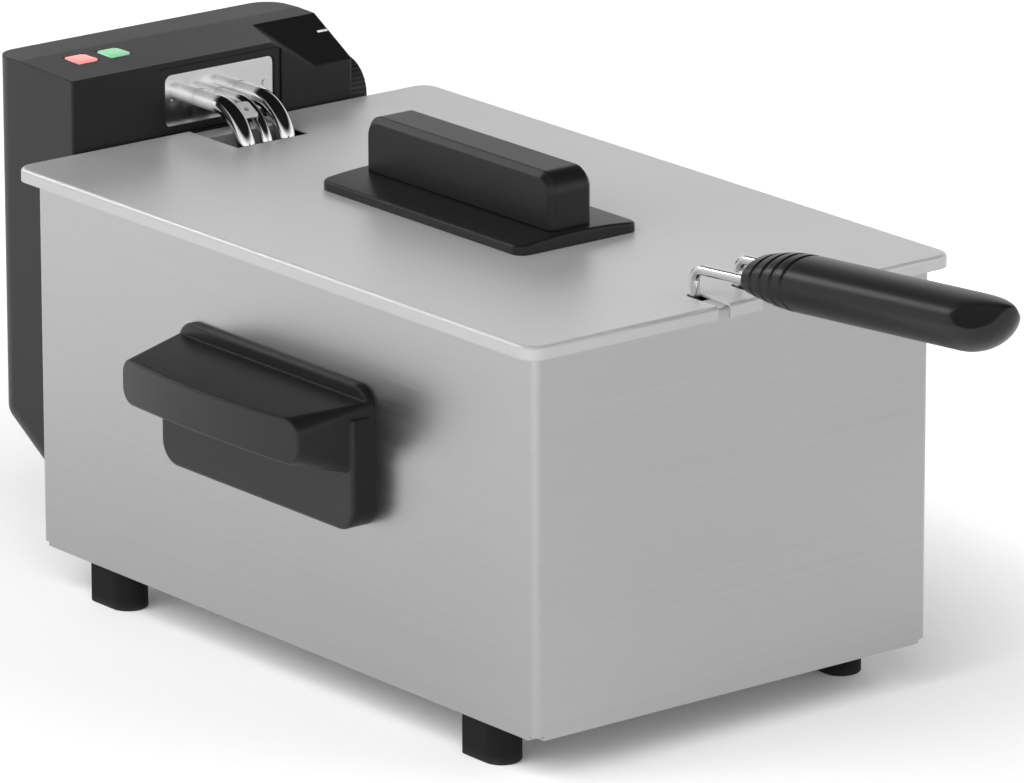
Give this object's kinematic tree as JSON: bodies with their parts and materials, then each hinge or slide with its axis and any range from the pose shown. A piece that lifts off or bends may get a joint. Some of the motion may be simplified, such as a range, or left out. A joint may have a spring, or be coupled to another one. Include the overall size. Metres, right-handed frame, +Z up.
{
  "type": "deep fryer",
  "caption": "Countertop deep fryer: steel housing, lift-out oil tank, rear control head with heating loop, wire basket with a long grip, and a steel lid.",
  "frame": {"origin": "on the floor plane, under the middle of the whole object's bounding box", "axes": "+Z up, -Y towards the basket grip at the front, +Y towards the control head, +X to the right seen from the front"},
  "size_m": [0.2672, 0.5286, 0.2053],
  "materials": {
    "satin_steel": "fine satin grain",
    "polished_steel": "polished",
    "wire_steel": "plated wire",
    "screw_steel": "zinc plated",
    "black_plastic": "fine matte grain",
    "dial_plastic": "matte",
    "foot_rubber": "matte",
    "red_lens": "clear tinted",
    "green_lens": "clear tinted",
    "lamp_glass": "clear",
    "board_laminate": "bare laminate",
    "pale_plastic": "heat-proof moulding"
  },
  "bodies": {
    "housing": {"housing_shell": "satin_steel", "base_plate": "satin_steel", "base_screws": "screw_steel", "foot_front_left": "foot_rubber", "foot_front_right": "foot_rubber", "foot_rear_left": "foot_rubber", "foot_rear_right": "foot_rubber", "foot_screws": "screw_steel", "side_handle_left": "black_plastic", "side_handle_right": "black_plastic", "side_handle_screws": "screw_steel", "head_guide_rails": "satin_steel", "guide_rivets": "screw_steel"},
    "oil_tank": {"oil_tank": "satin_steel"},
    "control_head": {"head_shell": "black_plastic", "head_back_cover": "black_plastic", "back_cover_screws": "screw_steel", "element_plate": "polished_steel", "plate_frame": "black_plastic", "plate_rivets": "polished_steel", "heating_element": "polished_steel", "thermostat_sensor": "polished_steel", "element_gland_nuts": "screw_steel", "tube_strap": "polished_steel", "element_clips": "polished_steel", "power_lamp_lens": "red_lens", "ready_lamp_lens": "green_lens", "neon_lamps": "lamp_glass", "lamp_board": "board_laminate", "thermostat": "pale_plastic", "thermal_cutout": "pale_plastic", "interlock_switch": "black_plastic", "terminal_block": "pale_plastic", "cord_gland": "black_plastic"},
    "thermostat_dial": {"thermostat_dial": "dial_plastic", "dial_shaft": "screw_steel"},
    "reset_button": {"reset_button": "red_lens"},
    "basket": {"basket_rim": "wire_steel", "basket_net_bottom": "wire_steel", "basket_net_front": "wire_steel", "basket_net_rear": "wire_steel", "basket_net_left": "wire_steel", "basket_net_right": "wire_steel", "basket_skids": "wire_steel", "basket_handle_wires": "wire_steel", "handle_bracket": "wire_steel", "basket_grip": "black_plastic"},
    "lid": {"lid_pan": "satin_steel", "lid_handle_plate": "black_plastic", "lid_handle_grip": "black_plastic", "lid_handle_screws": "screw_steel"}
  },
  "joints": [
    {"name": "tank_lift", "type": "slide", "parent": "housing", "child": "oil_tank", "axis": [0, 0, 1], "range_m": [0, 0.15]},
    {"name": "head_lift", "type": "slide", "parent": "oil_tank", "child": "control_head", "axis": [0, 0, 1], "range_m": [0, 0.15]},
    {"name": "basket_lift", "type": "slide", "parent": "control_head", "child": "basket", "axis": [0, 0, 1], "range_m": [0, 0.12]},
    {"name": "lid_lift", "type": "slide", "parent": "basket", "child": "lid", "axis": [0, 0, 1], "range_m": [0, 0.1]},
    {"name": "dial_turn", "type": "hinge", "parent": "control_head", "child": "thermostat_dial", "pos_m": [0.06985, 0.22455, 0.1731], "axis": [1, 0, 0], "range_deg": [0, 270]},
    {"name": "reset_press", "type": "slide", "parent": "control_head", "child": "reset_button", "axis": [0, -1, 0], "range_m": [0, 0.002], "stiffness_N_per_m": 300}
  ]
}
